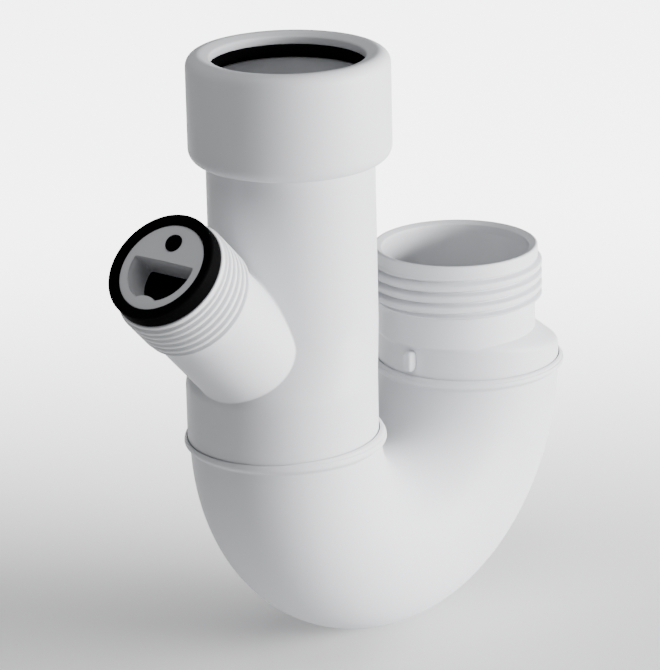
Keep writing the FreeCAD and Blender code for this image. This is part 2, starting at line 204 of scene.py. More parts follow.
def onBranch(radius, turn, along):
    # a point at a radius and a turn about the branch, at a distance along it
    radius, turn, along = (item[..., None] for item in np.broadcast_arrays(radius, turn, along))
    return branchStart + branchOut * along + radius * (np.cos(turn) * branchUp + np.sin(turn) * branchSide)


# Materials

def nodeMaker(material):
    tree = material.node_tree

    def make(kind, inputs=None, **settings):
        node = tree.nodes.new(kind)
        for name, value in settings.items():
            setattr(node, name, value)
        for name, value in (inputs or {}).items():
            if hasattr(value, "is_output"):
                tree.links.new(value, node.inputs[name])
            else:
                node.inputs[name].default_value = value
        return node

    return make


mouldGrain = {"toneScale": 26, "glossScale": 70, "sinkScale": 48, "sinkDepth": 0.0006, "grainDepth": 0.00006,
              "ior": 1.49}


def mouldedPlastic(name, look):
    # satin moulded plastic: slow clouds of tone, uneven gloss, a faint sink of the wall and a fine grain
    material = bpy.data.materials.new(name)
    material.use_nodes = True
    make = nodeMaker(material)
    shader = material.node_tree.nodes["Principled BSDF"]
    where = make("ShaderNodeTexCoord").outputs["Object"]
    clouds = make(
        "ShaderNodeTexNoise",
        {"Vector": where, "Scale": mouldGrain["toneScale"], "Detail": 3, "Roughness": 0.5},
    )
    tone = make("ShaderNodeMix", data_type="RGBA")
    tone.inputs[6].default_value = look["shade"] + (1,)
    tone.inputs[7].default_value = look["light"] + (1,)
    gloss = make("ShaderNodeTexNoise", {"Vector": where, "Scale": mouldGrain["glossScale"], "Detail": 4})
    roughness = make(
        "ShaderNodeMapRange",
        {"Value": gloss.outputs["Fac"], "From Min": 0.3, "From Max": 0.7,
         "To Min": look["smooth"], "To Max": look["rough"]},
    )
    sink = make("ShaderNodeTexNoise", {"Vector": where, "Scale": mouldGrain["sinkScale"], "Detail": 1})
    wave = make(
        "ShaderNodeBump",
        {"Height": sink.outputs["Fac"], "Strength": look["sink"], "Distance": mouldGrain["sinkDepth"]},
    )
    grain = make("ShaderNodeTexNoise", {"Vector": where, "Scale": look["grainScale"], "Detail": 2})
    bump = make(
        "ShaderNodeBump",
        {"Height": grain.outputs["Fac"], "Strength": look["grain"], "Distance": mouldGrain["grainDepth"],
         "Normal": wave.outputs["Normal"]},
    )
    links = material.node_tree.links
    links.new(clouds.outputs["Fac"], tone.inputs[0])
    links.new(tone.outputs[2], shader.inputs["Base Color"])
    links.new(roughness.outputs["Result"], shader.inputs["Roughness"])
    links.new(bump.outputs["Normal"], shader.inputs["Normal"])
    shader.inputs["IOR"].default_value = mouldGrain["ior"]
    shader.inputs["Specular IOR Level"].default_value = look["specular"]
    return material


bodyLook = {"shade": (0.632, 0.640, 0.662), "light": (0.662, 0.670, 0.692), "smooth": 0.47, "rough": 0.57,
            "sink": 0.10, "grain": 0.16, "grainScale": 2400, "specular": 0.30}
# the plug's grey is set darker than the body's: painted shade, for the shade its face sits in
plugShadedLook = {"shade": (0.545, 0.55, 0.57), "light": (0.575, 0.58, 0.60), "smooth": 0.46, "rough": 0.56,
            "sink": 0.06, "grain": 0.2, "grainScale": 2600, "specular": 0.38}
rubberLook = {"shade": (0.0008, 0.0008, 0.0009), "light": (0.0018, 0.0018, 0.002), "smooth": 0.6, "rough": 0.75,
              "sink": 0.08, "grain": 0.35, "grainScale": 3200, "specular": 0.012}
bodyPlastic = mouldedPlastic("lightGreyPlastic", bodyLook)
plugShadedPlastic = mouldedPlastic("plugShadedGreyPlastic", plugShadedLook)
blackRubber = mouldedPlastic("blackRubber", rubberLook)
print("materials made")


# Inlet body: collar, tube, leaning barrel and branch in one skin

inletSizes = {
    "collarRadius": 26.6, "collarFoot": -27.5, "mouthSlope": 0.345,
    "socketStop": -42.0, "grooveRadius": 23.6, "grooveTop": -2.2, "grooveFoot": -5.8,
    "tubeRadius": 22.1, "tubeBore": 19.4, "barrelRadius": 25.3, "barrelBore": 22.8,
    "barrelShift": -5.8, "leanTop": -72.0, "leanFoot": -85.4, "leanEase": 0.12, "foot": -102.6,
    "windowAngle": 64.0, "windowTop": -38.0, "windowBoreTop": -46.0, "windowFoot": -96.0,
    "windowColumns": 57, "otherColumns": 61, "windowRows": 57,
}
branchSizes = {
    "neckRadius": 14.95, "boreRadius": 11.0, "plugBore": 12.35, "ledge": 56.0, "end": 69.2, "leadRadius": 15.6,
    "threadStart": 54.6, "threadEnd": 68.2, "threadRoot": 15.05, "threadHeight": 1.1, "pitch": 2.28, "phase": -0.23,
    "narrowness": 2.4, "rowStep": 0.13, "runIn": 1.2, "runOut": 0.9, "rootEase": 1.0, "leadEase": 0.8, "leadGap": 0.2,
    "endRound": 0.4, "boreStart": 54.0, "blend": 1.0, "landing": 0.72, "searchStart": 2.0, "halvings": 45,
}
socketRadius = mounts["inlet_socket"]["dims"]["r_mm"]


def lean(level):
    # how far the wall has leaned over at a height, from 0 to 1: a straight slope with rounded ends
    s = inletSizes
    share = (s["leanTop"] - level) / (s["leanTop"] - s["leanFoot"])
    return easedRamp(share, s["leanEase"]) - easedRamp(share - 1, s["leanEase"])


def tubePoint(radius, turn, level):
    # turn is measured from the branch's side, and the centre moves over as the tube leans
    centre = inletSizes["barrelShift"] * lean(level)
    return np.stack(np.broadcast_arrays(centre - radius * np.cos(turn), radius * np.sin(turn), level), -1)


def outerRadius(level):
    return inletSizes["tubeRadius"] + (inletSizes["barrelRadius"] - inletSizes["tubeRadius"]) * lean(level)


def innerRadius(level):
    return inletSizes["tubeBore"] + (inletSizes["barrelBore"] - inletSizes["tubeBore"]) * lean(level)


def crossing(radius, turn, wallRadius):
    # distance along the branch where a line beside its axis passes through the tube's wall, by halving
    low = np.full(turn.shape, branchSizes["searchStart"])
    high = np.full(turn.shape, branchSizes["end"])
    for _ in range(branchSizes["halvings"]):
        middle = (low + high) / 2
        spot = onBranch(radius, turn, middle)
        centre = inletSizes["barrelShift"] * lean(spot[:, 2])
        outside = np.hypot(spot[:, 0] - centre, spot[:, 1]) > wallRadius(spot[:, 2])
        low, high = np.where(outside, low, middle), np.where(outside, middle, high)
    return high


def onWall(spot):
    # the turn and height of points that lie on the tube's wall
    centre = inletSizes["barrelShift"] * lean(spot[:, 2])
    return np.stack([np.arctan2(spot[:, 1], centre - spot[:, 0]), spot[:, 2]], -1)


def branchRows(turn, landing, start):
    # the branch's skin: blend from the wall, neck, thread, lead, end face and bore back to the tube
    s = branchSizes
    share = np.linspace(0, 1, 13)[1:, None, None]
    corner = onBranch(s["neckRadius"], turn, crossing(s["neckRadius"], turn, outerRadius))
    neckEnd = onBranch(s["neckRadius"], turn, start)
    blend = landing * (1 - share) ** 2 + 2 * corner * share * (1 - share) + neckEnd * share ** 2
    reach = np.linspace(0, 1, 9)[1:-1, None]
    neck = onBranch(s["neckRadius"], turn, start * (1 - reach) + s["threadStart"] * reach)
    along = np.arange(s["threadStart"], s["threadEnd"] + 0.05, s["rowStep"])[:, None]
    passed, left = along - s["threadStart"], s["threadEnd"] - along
    rise = smoothStep(passed / s["runIn"]) * smoothStep(left / s["runOut"])
    root = s["neckRadius"] + (s["threadRoot"] - s["neckRadius"]) * smoothStep(passed / s["rootEase"])
    root = root + (s["leadRadius"] - s["threadRoot"]) * smoothStep((s["leadEase"] - left) / s["leadEase"])
    wave = ridges(along / s["pitch"] - turn / (2 * np.pi) + s["phase"], s["narrowness"])
    thread = onBranch(root + s["threadHeight"] * rise * wave, turn, along)
    lead = roundedPath([
        (s["leadRadius"], s["threadEnd"] + s["leadGap"], 0), (s["leadRadius"], s["end"], s["endRound"]),
        (s["plugBore"], s["end"], s["endRound"]), (s["plugBore"], s["ledge"], 0), (s["boreRadius"], s["ledge"], 0),
        (s["boreRadius"], s["boreStart"], 0),
    ])
    front = onBranch(lead[:, 0][:, None], turn, lead[:, 1][:, None])
    inside = crossing(s["boreRadius"], turn, innerRadius)
    bore = onBranch(s["boreRadius"], turn, s["boreStart"] * (1 - reach) + inside * reach)
    last = onBranch(s["boreRadius"], turn, inside)[None]
    return np.concatenate([landing[None], blend, neck, thread, front, bore, last])


def inletSheets():
    s, b = inletSizes, branchSizes
    half = np.radians(s["windowAngle"])
    columns = np.linspace(-half, half, s["windowColumns"])
    turns = np.concatenate([columns, np.linspace(half, 2 * np.pi - half, s["otherColumns"])[1:-1]])
    rows = np.linspace(s["windowTop"], s["windowFoot"], s["windowRows"])
    boreRows = np.linspace(s["windowBoreTop"], s["windowFoot"], s["windowRows"])
    crest = s["mouthSlope"] * (s["collarRadius"] - socketRadius)
    head = roundedPath([
        (s["tubeBore"], s["socketStop"] - 1, 0), (s["tubeBore"], s["socketStop"], 0),
        (socketRadius, s["socketStop"], 0), (socketRadius, s["grooveFoot"], 0.15),
        (s["grooveRadius"], s["grooveFoot"], 0.3), (s["grooveRadius"], s["grooveTop"], 0.3),
        (socketRadius, s["grooveTop"], 0.25), (socketRadius, 0, 0.7), (s["collarRadius"], crest, 3.2),
        (s["collarRadius"], s["collarFoot"], 3.7), (s["tubeRadius"], s["collarFoot"], 0.5),
        (s["tubeRadius"], s["windowTop"] + 5, 0),
    ], 9)
    wall = np.concatenate([rows, np.linspace(s["windowFoot"], s["foot"] + 0.7, 7)[1:]])
    foot = roundedPath([
        (s["barrelRadius"], s["foot"] + 0.6, 0), (s["barrelRadius"], s["foot"], 0.4),
        (s["barrelBore"], s["foot"], 0.4), (s["barrelBore"], s["foot"] + 0.6, 0),
    ], 5)
    bore = np.concatenate([boreRows, np.linspace(s["windowFoot"], s["foot"] + 0.7, 7)[1:]])[::-1]
    radii = np.concatenate([head[:, 0], outerRadius(wall), foot[:, 0], innerRadius(bore)])
    levels = np.concatenate([head[:, 1], wall, foot[:, 1], bore])
    points, quads = sheet(tubePoint(radii[:, None], turns[None], levels[:, None]), wrapRows=True)
    firstRow = len(head)
    lastRow = len(radii) - len(boreRows)
    gap = np.ones(quads.shape[:2], bool)
    gap[firstRow:firstRow + len(rows) - 1, :len(columns) - 1] = False
    gap[lastRow:lastRow + len(boreRows) - 1, :len(columns) - 1] = False

    edge = frameEdge(columns, rows)
    turn = edgeTurn(edge, columns, rows)
    meet = onBranch(b["neckRadius"], turn, crossing(b["neckRadius"], turn, outerRadius))
    meetTurn = onWall(meet)[:, 0]
    wallFacing = np.stack([-np.cos(meetTurn), np.sin(meetTurn), 0 * meetTurn], -1)
    neckFacing = np.cos(turn)[:, None] * branchUp + np.sin(turn)[:, None] * branchSide
    opening = np.arccos((wallFacing * neckFacing).sum(1))
    reach = b["blend"] * np.tan(opening / 2)          # how far a rolled blend stays on each skin
    wide = b["neckRadius"] + b["landing"] * reach
    landing = onBranch(wide, turn, crossing(wide, turn, outerRadius))
    start = crossing(b["neckRadius"], turn, outerRadius) + reach
    rim = onWall(landing)
    landing = tubePoint(outerRadius(rim[:, 1]), rim[:, 0], rim[:, 1])
    outerRings = ringsRoundWindow(lambda a, z: tubePoint(outerRadius(z), a, z), rim, edge, 15)
    boreRim = onWall(onBranch(b["boreRadius"], turn, crossing(b["boreRadius"], turn, innerRadius)))
    boreEdge = frameEdge(columns, boreRows)
    innerRings = ringsRoundWindow(lambda a, z: tubePoint(innerRadius(z), a, z), boreRim, boreEdge, 15)
    branch = branchRows(turn, landing, start)
    branch[-1] = tubePoint(innerRadius(boreRim[:, 1]), boreRim[:, 0], boreRim[:, 1])
    return [(points, quads[gap]), outerRings, innerRings, sheet(branch)]


makePiece("inletBody", inletSheets(), bodyPlastic, "body_plastic", "trap", "inlet_body")


# Trap bend: half a turn of pipe with a raised cup at each end

bendSizes = {
    "radius": 40.0, "inletLeg": -4.9, "level": -102.0, "pipeRadius": 25.3, "boreRadius": 22.8, "columns": 144,
    "cupRadius": 25.58, "cupMouth": 25.64, "cupFloor": -102.6, "inletCrown": -100.0, "outletCrown": -100.82,
    "crownRadius": 24.3, "fullness": 2.1, "beadRadius": 26.8, "beadWaist": -102.9, "beadFoot": -104.9,
    "grooveRadius": 26.42, "grooveWidth": 0.14, "grooveDepth": 0.24, "inletBarrel": -5.8, "outletBarrel": 75.1,
    "sweepRows": 110,
}


def bendSlice(radius, turn, level):
    # where a level plane cuts the swept pipe: the ring's distance from the bend's centre times the sine is the drop
    s = bendSizes
    arm = s["radius"] + radius * np.cos(turn)
    return np.arcsin((s["level"] - level) / arm)


def bendPoint(radius, turn, angle):
    s = bendSizes
    arm = s["radius"] + radius * np.cos(turn)
    middle = s["inletLeg"] + s["radius"]
    spots = (middle - arm * np.cos(angle), radius * np.sin(turn), s["level"] - arm * np.sin(angle))
    return np.stack(np.broadcast_arrays(*spots), -1)


def bendEnd(turn, leg, barrel, crown, facing):
    # from the cup's floor up its wall, over the bead and down to the pipe, as rings about the barrel and then the leg
    s = bendSizes
    offset = facing * (barrel - leg)
    mouth = offset * np.cos(turn) + np.sqrt(s["cupMouth"] ** 2 - (offset * np.sin(turn)) ** 2)

    def beadLevel(radius):
        # the bead's top falls outwards in a flattened quarter round, with a fine groove near its edge
        share = np.clip((radius - s["crownRadius"]) / (s["beadRadius"] - s["crownRadius"]), 0, 1)
        rise = (1 - share ** s["fullness"]) ** (1 / s["fullness"])
        groove = s["grooveDepth"] * np.exp(-((radius - s["grooveRadius"]) / s["grooveWidth"]) ** 2)
        return s["beadWaist"] + (crown - s["beadWaist"]) * rise - groove

    reach = np.sin(np.linspace(0, np.pi / 2, 22))[:, None]
    topRadius = mouth * (1 - reach) + s["beadRadius"] * reach
    under = roundedPath([
        (s["beadRadius"], s["beadWaist"], 0), (s["beadRadius"], s["beadWaist"] - 0.7, 0.6),
        (s["pipeRadius"], s["beadFoot"], 0),
    ])[1:]
    slope = np.linspace(0, 1, 7)[1:-1, None]
    under = np.concatenate([under[:-1], under[-2] * (1 - slope) + under[-1] * slope, under[-1:]])

    def ring(radius, level, centre):
        spots = (centre + facing * radius * np.cos(turn), radius * np.sin(turn), level)
        return np.stack(np.broadcast_arrays(*spots), -1)

    level = np.minimum(under[:, 1], s["level"])[:, None]
    angle = bendSlice(s["pipeRadius"], turn[None], level)
    pipe = bendPoint(s["pipeRadius"], turn[None], np.pi - angle if facing > 0 else angle)
    share = smoothStep((s["beadWaist"] - under[:, 1]) / (s["beadWaist"] - s["beadFoot"]))[:, None, None]
    floor = ring(s["cupRadius"], s["cupFloor"], barrel)[None]
    cup = ring(s["cupRadius"], beadLevel(mouth) - 0.3, barrel)[None]
    bead = ring(topRadius, beadLevel(topRadius), leg)
    foot = ring(under[:, :1], under[:, 1:], leg) * (1 - share) + pipe * share
    return np.concatenate([floor, cup, bead, foot])


def bendSheets():
    s = bendSizes
    turn = np.linspace(0, 2 * np.pi, s["columns"], endpoint=False)
    inletEnd = bendEnd(turn, s["inletLeg"], s["inletBarrel"], s["inletCrown"], -1)
    outletEnd = bendEnd(turn, s["inletLeg"] + 2 * s["radius"], s["outletBarrel"], s["outletCrown"], 1)
    share = np.linspace(0, 1, s["sweepRows"])[:, None]
    foot = bendSlice(s["pipeRadius"], turn, s["beadFoot"])
    skin = bendPoint(s["pipeRadius"], turn, foot * (1 - share) + (np.pi - foot) * share)[1:-1]
    seat = bendSlice(s["boreRadius"], turn, s["cupFloor"])
    bore = bendPoint(s["boreRadius"], turn, (np.pi - seat) * (1 - share) + seat * share)
    return [sheet(np.concatenate([inletEnd, skin, outletEnd[::-1], bore]), wrapRows=True)]


makePiece("trapBend", bendSheets(), bodyPlastic, "body_plastic", "trap", "trap_bend")


# Outlet adapter: barrel and shelf with an eccentric threaded neck

outletSizes = {
    "barrelAxis": 75.1, "barrelRadius": 25.3, "barrelBore": 22.8, "neckRadius": 21.9, "rimRadius": 22.75,
    "top": -68.05, "seatRadius": 22.0, "seatDepth": 0.75, "boreRadius": 20.4, "throatRadius": 19.2,
    "threadTop": -71.2, "threadFoot": -83.5, "threadRoot": 22.1, "threadHeight": 1.8,
    "pitch": 3.1, "phase": -0.016, "narrowness": 3.2, "rowStep": 0.12, "runIn": 1.3, "runOut": 1.2, "rootEase": 1.6,
    "rimEase": 1.0, "throatRound": 4.0, "underDrop": 2.0,
    "shelf": -91.6, "slope": 0.82, "shelfRound": 1.6, "shelfFoot": -99.6, "foot": -102.6,
    "slopeTop": -97.1, "slopeFoot": -101.4, "columns": 160,
}
outletAxis = mounts["outlet_thread"]["pos_m"][0] / mm


def polarCircle(turn, offset, radius):
    # distance from the neck's axis to a circle whose centre lies beside it
    return offset * np.cos(turn) + np.sqrt(radius ** 2 - (offset * np.sin(turn)) ** 2)


def outletSheets():
    s = outletSizes
    turn = np.linspace(0, 2 * np.pi, s["columns"], endpoint=False)
    offset = s["barrelAxis"] - outletAxis
    rim = roundedPath([
        (s["throatRadius"], s["slopeTop"], 0), (s["throatRadius"], s["threadFoot"], s["throatRound"]),
        (s["boreRadius"], s["threadTop"], s["throatRound"]), (s["boreRadius"], s["top"] - s["seatDepth"], 0.5),
        (s["seatRadius"], s["top"], 0.4), (s["rimRadius"], s["top"], 0.6), (s["rimRadius"], s["threadTop"], 0),
    ])
    level = np.arange(s["threadTop"] - s["rowStep"], s["threadFoot"], -s["rowStep"])[:, None]
    passed, left = s["threadTop"] - level, level - s["threadFoot"]
    rise = smoothStep(passed / s["runIn"]) * smoothStep(left / s["runOut"])
    root = s["neckRadius"] + (s["threadRoot"] - s["neckRadius"]) * smoothStep(left / s["rootEase"])
    root = root + (s["rimRadius"] - s["threadRoot"]) * smoothStep(1 - passed / s["rimEase"])
    wave = ridges(level / s["pitch"] - turn / (2 * np.pi) + s["phase"], s["narrowness"])
    thread = root + s["threadHeight"] * rise * wave

    # below the thread: a cone about the neck's axis falls outwards until it meets the barrel's own circle
    lower = np.concatenate([
        np.linspace(s["threadFoot"], s["shelf"] + 0.3, 6), np.linspace(s["shelf"], s["shelfFoot"], 60),
        np.linspace(s["shelfFoot"], s["foot"], 6)[1:],
    ])[:, None]
    barrel = polarCircle(turn, offset, s["barrelRadius"])
    drop = s["shelf"] - lower
    cone = s["neckRadius"] + np.maximum(drop, 0) / s["slope"]
    under = s["neckRadius"] + (barrel - s["neckRadius"]) * smoothStep(drop / s["underDrop"])
    plain = np.where(barrel > s["neckRadius"], softMin(cone, barrel, s["shelfRound"]), under)
    plain = np.where(drop > 0, np.maximum(plain, np.minimum(under, s["neckRadius"])), s["neckRadius"])
    bore = polarCircle(turn, offset, s["barrelBore"]) * np.ones((2, 1))
    radii = np.concatenate([rim[:, 0][:, None] + 0 * turn, thread, plain, bore])
    heights = np.concatenate([rim[:, 1], level[:, 0], lower[:, 0], [s["foot"], s["slopeFoot"]]])[:, None]
    spots = (outletAxis + radii * np.cos(turn), radii * np.sin(turn), heights)
    return [sheet(np.stack(np.broadcast_arrays(*spots), -1), wrapRows=True)]


ribSizes = {"width": 3.0, "top": -93.8, "foot": -99.6, "depth": 3.3, "proud": 2.8, "squareness": 0.6}


def ribSheets():
    # a small block with rounded edges: powers below one of the sines and cosines square off an ellipsoid
    s = ribSizes
    around = np.linspace(0, 2 * np.pi, 40, endpoint=False)
    upright = np.linspace(-np.pi / 2, np.pi / 2, 25)[:, None]

    def squared(value):
        return np.sign(value) * np.abs(value) ** s["squareness"]

    middle = outletSizes["barrelAxis"] - outletSizes["barrelRadius"] - s["proud"] + s["depth"] / 2
    across = middle + s["depth"] / 2 * squared(np.cos(upright)) * squared(np.cos(around))
    aside = s["width"] / 2 * squared(np.cos(upright)) * squared(np.sin(around))
    level = (s["top"] + s["foot"]) / 2 + (s["top"] - s["foot"]) / 2 * squared(np.sin(upright)) + 0 * around
    return [sheet(np.stack([across, aside, level], -1))]


makePiece("outletAdapter", outletSheets() + ribSheets(), bodyPlastic, "body_plastic", "trap", "outlet_adapter")


# Seals

sealSizes = {"back": 23.5, "top": -2.3, "foot": -5.7, "lipRadius": 19.2, "lipLevel": -4.5, "rest": 20.6}
gasketSizes = {"inner": 12.5, "outer": 15.2, "start": 69.2, "end": 73.65, "round": 0.8}
sealTurns = np.linspace(0, 2 * np.pi, 160, endpoint=False)


def lipSealSheets():
    s = sealSizes
    path = closedPath([
        (s["back"], s["foot"], 0.4), (s["back"], s["top"], 0.4), (socketRadius + 0.1, s["top"], 0.3),
        (s["lipRadius"], s["lipLevel"] + 0.7, 0.3), (s["lipRadius"], s["lipLevel"], 0.3),
        (s["rest"], s["lipLevel"] - 0.5, 0.3), (s["rest"], s["foot"], 0.2),
    ], 6)
    return [sheet(lathe(path, sealTurns, tubePoint), wrapRows=True)]


def gasketSheets():
    s = gasketSizes
    path = closedPath([
        (s["inner"], s["start"], 0.2), (s["outer"], s["start"], 0.2), (s["outer"], s["end"], s["round"]),
        (s["inner"], s["end"], 0.35),
    ], 8)
    return [sheet(lathe(path, sealTurns, onBranch), wrapRows=True)]


makePiece("inletLipSeal", lipSealSheets(), blackRubber, "black_rubber", "trap", "inlet_lip_seal")
makePiece("branchGasket", gasketSheets(), blackRubber, "black_rubber", "trap", "branch_gasket")


# Plug with a D-shaped port, and the rubber flap behind it

plugSizes = {
    "radius": 12.3, "face": 72.7, "back": 64.7, "end": 56.0, "chamber": 10.9, "portRadius": 9.6, "portFlat": 1.6,
    "portMiddle": -4.0, "cornerRound": 0.9, "lugRadius": 5.2, "lugCentre": -13.4, "edgeRound": 0.3,
    "pegHeight": 7.1, "pegHole": 2.2, "windowAngle": 20.0, "windowColumns": 25, "otherColumns": 193, "windowRows": 17,
}
flapSizes = {
    "radius": 10.4, "thickness": 1.2, "hinge": 3.2, "gap": 0.1, "flapMiddle": -2.5, "cornerRound": 0.6,
    "tabMiddle": 6.6, "tabGap": 0.25, "tabRound": 0.25, "pegRadius": 2.15, "pegSink": 0.2,
    "pegHead": 2.4, "headSink": 0.1, "pegProud": 0.85, "pegRound": 0.8,
}


def circleReach(turn, origin, radius, centre=0.0):
    # distance from a point on the branch's upright line to a circle about another point of that line
    offset = centre - origin
    return offset * np.cos(turn) + np.sqrt(np.maximum(radius ** 2 - (offset * np.sin(turn)) ** 2, 0))


def portReach(turn):
    # outline of the port from its middle: the flat above, the round below, and the lug at its foot
    s = plugSizes
    top = s["portFlat"] - s["portMiddle"]
    flat = np.where(np.cos(turn) > 0.05, top / np.maximum(np.cos(turn), 0.05), 99.0)
    outline = softMin(circleReach(turn, s["portMiddle"], s["portRadius"]), flat, s["cornerRound"])
    offset = s["lugCentre"] - s["portMiddle"]
    room = s["lugRadius"] ** 2 - (offset * np.sin(turn)) ** 2
    lug = offset * np.cos(turn) - np.sqrt(np.maximum(room, 0))
    lug = np.where((room > 0) & (np.cos(turn) < 0), lug, 99.0)
    return softMin(outline, lug, 0.35)


def onPlug(reach, turn, along):
    # polar about the port's middle, in the plane across the branch
    up = plugSizes["portMiddle"] + reach * np.cos(turn)
    aside = reach * np.sin(turn)
    up, aside, along = (item[..., None] for item in np.broadcast_arrays(up, aside, along))
    return branchStart + branchOut * along + branchUp * up + branchSide * aside


def plugSheets():
    s = plugSizes
    half = np.radians(s["windowAngle"])
    columns = np.linspace(-half, half, s["windowColumns"])
    turns = np.concatenate([columns, np.linspace(half, 2 * np.pi - half, s["otherColumns"])[1:-1]])
    port = portReach(turns)

    def shelfOf(outerRadius):
        # a flat from the port's outline to a circle: turn and share of the way out give a point
        def point(along):
            def surface(turn, share):
                inner = portReach(turn)
                outer = circleReach(turn, s["portMiddle"], outerRadius)
                return onPlug(inner + (outer - inner) * share, turn, along)
            return surface
        return point

    def rimIn(outerRadius, turn):
        # the peg's hole as turn and share of that flat
        up = s["pegHeight"] - s["portMiddle"] + s["pegHole"] * np.cos(turn)
        aside = s["pegHole"] * np.sin(turn)
        angle = np.arctan2(aside, up)
        inner = portReach(angle)
        outer = circleReach(angle, s["portMiddle"], outerRadius)
        return np.stack([angle, (np.hypot(up, aside) - inner) / (outer - inner)], -1)

    flats = {"face": (shelfOf(s["radius"] - s["edgeRound"])(s["face"]), s["radius"] - s["edgeRound"]),
             "back": (shelfOf(s["chamber"])(s["back"]), s["chamber"])}
    windowRows = {"face": np.linspace(0.9, 0.12, s["windowRows"]), "back": np.linspace(0.96, 0.1, s["windowRows"])}
    shares = {name: np.concatenate([[1.0], rows, [0.04]]) for name, rows in windowRows.items()}
    outer = roundedPath([
        (s["chamber"], s["back"], 0), (s["chamber"], s["end"], 0.2), (s["radius"], s["end"], 0.3),
        (s["radius"], s["face"], s["edgeRound"]), (s["radius"] - 1, s["face"], 0),
    ])[1:-1]
    skin = onPlug(circleReach(turns, s["portMiddle"], outer[:, 0][:, None]), turns, outer[:, 1][:, None])
    face = flats["face"][0](turns[None], shares["face"][1:, None])
    back = flats["back"][0](turns[None], shares["back"][::-1][:, None])
    drop = np.linspace(0, 1, 9)[:, None]
    easing = 0.25 * (1 - smoothStep(drop * 8))          # the port's front edge is eased
    wall = onPlug(port + easing, turns, s["face"] * (1 - drop) + s["back"] * drop)
    points, quads = sheet(np.concatenate([skin, face, wall, back]), wrapRows=True)
    keep = np.ones(quads.shape[:2], bool)
    faceStart = len(skin)
    backStart = len(skin) + len(face) + len(wall) + 1
    keep[faceStart:faceStart + s["windowRows"] - 1, :s["windowColumns"] - 1] = False
    keep[backStart:backStart + s["windowRows"] - 1, :s["windowColumns"] - 1] = False
    sheets = [(points, quads[keep])]
    rings = {}
    for name, (surface, outerRadius) in flats.items():
        edge = frameEdge(columns, windowRows[name])
        turn = edgeTurn(edge, columns, windowRows[name])
        sheets.append(ringsRoundWindow(surface, rimIn(outerRadius, turn), edge, 7))
        rings[name] = surface(*rimIn(outerRadius, turn).T)
    sheets.append(sheet(rings["face"] * (1 - drop[..., None]) + rings["back"] * drop[..., None]))
    return sheets


def slabSheets(outline, middle, start, end, rounding):
    # a flat rubber plate: rings from the middle of one face, round the edge, to the middle of the other
    turn = np.linspace(0, 2 * np.pi, 144, endpoint=False)
    reach = outline(turn)
    inward = np.concatenate([np.linspace(0, 1, 9), np.ones(9), np.linspace(1, 0, 9)])[:, None]
    bend = np.concatenate([np.zeros(9), np.linspace(0, np.pi, 9), np.full(9, np.pi)])[:, None]
    spread = np.maximum(reach - rounding, 0) * inward + rounding * np.sin(bend) * (inward > 0)
    along = (start + end) / 2 - (end - start) / 2 * np.cos(bend)
    up = middle + spread * np.cos(turn)
    aside = spread * np.sin(turn)
    spots = [item[..., None] for item in np.broadcast_arrays(up, aside, along)]
    return [sheet(branchStart + branchUp * spots[0] + branchSide * spots[1] + branchOut * spots[2])]


def segmentOutline(middle, flatAt, upper):
    # the part of the flap's circle above or below a straight line, seen from a point inside it
    def outline(turn):
        side = np.cos(turn) * (-1 if upper else 1)
        gap = (middle - flatAt) * (1 if upper else -1)
        flat = np.where(side > 0.02, gap / np.maximum(side, 0.02), 99.0)
        return softMin(circleReach(turn, middle, flapSizes["radius"]), flat, flapSizes["cornerRound"])
    return outline


def flapPieces():
    s, p = flapSizes, plugSizes
    seat = p["back"]
    tabFlat = s["hinge"] + s["thickness"] / 2 + s["tabGap"]
    tabOutline = segmentOutline(s["tabMiddle"], tabFlat, True)
    tab = slabSheets(tabOutline, s["tabMiddle"], seat - s["thickness"], seat, s["tabRound"])
    pegTop = p["face"] + s["pegProud"]
    pegPath = roundedPath([
        (0, seat - s["pegSink"], 0), (s["pegRadius"], seat - s["pegSink"], 0),
        (s["pegRadius"], p["face"] - s["headSink"], 0), (s["pegHead"], p["face"], 0),
        (s["pegHead"], pegTop, s["pegRound"]), (0, pegTop, 0),
    ])
    around = np.linspace(0, 2 * np.pi, 64, endpoint=False)
    peg = onBranch(pegPath[:, 0][:, None], around, pegPath[:, 1][:, None]) + branchUp * p["pegHeight"]
    makePiece("flapTab", tab + [sheet(peg)], blackRubber, "black_rubber", "trap", "flap_tab")
    front = seat - s["gap"]
    flapOutline = segmentOutline(s["flapMiddle"], s["hinge"] + s["thickness"] / 2, False)
    flap = slabSheets(flapOutline, s["flapMiddle"], front - s["thickness"], front, s["thickness"] / 2)
    makePiece("valveFlap", flap, blackRubber, "black_rubber", "flap", "valve_flap")


makePiece("valveInsert", plugSheets(), plugShadedPlastic, "plug_plastic", "trap", "valve_insert")
flapPieces()


# Stage, light and camera

stageLook = {
    "drop": 0.0005, "size": 6.0, "rough": 0.9, "pale": (0.8, 0.8, 0.8),
    "front": (0.4, 0.4, 0.4), "frontStart": -0.05, "frontEnd": -0.3,
    "nearGlow": 0.12, "farGlow": 5.0, "glowStart": 0.0, "glowEnd": 0.45,
    "fanApex": 0.95, "fanFull": 0.10, "fanEnd": 0.24,
}
lightLook = {
    "sky": 0.23, "skyColor": (0.95, 0.97, 1.0), "aim": (0.03, 0, -0.08),
    "areas": [
        {"name": "keyLight", "place": (0.565, -1.067, 0.05), "size": 0.9, "height": 0.3, "power": 56},
        {"name": "topLight", "place": (-0.25, -0.15, 0.9), "size": 0.6, "height": 0.6, "power": 4},
    ],
}
cameraView = {"azimuth": 50.58, "elevation": 18.41, "roll": -1.30, "lens": 203.66,
              "place": (-0.72595, -0.60870, 0.23921)}


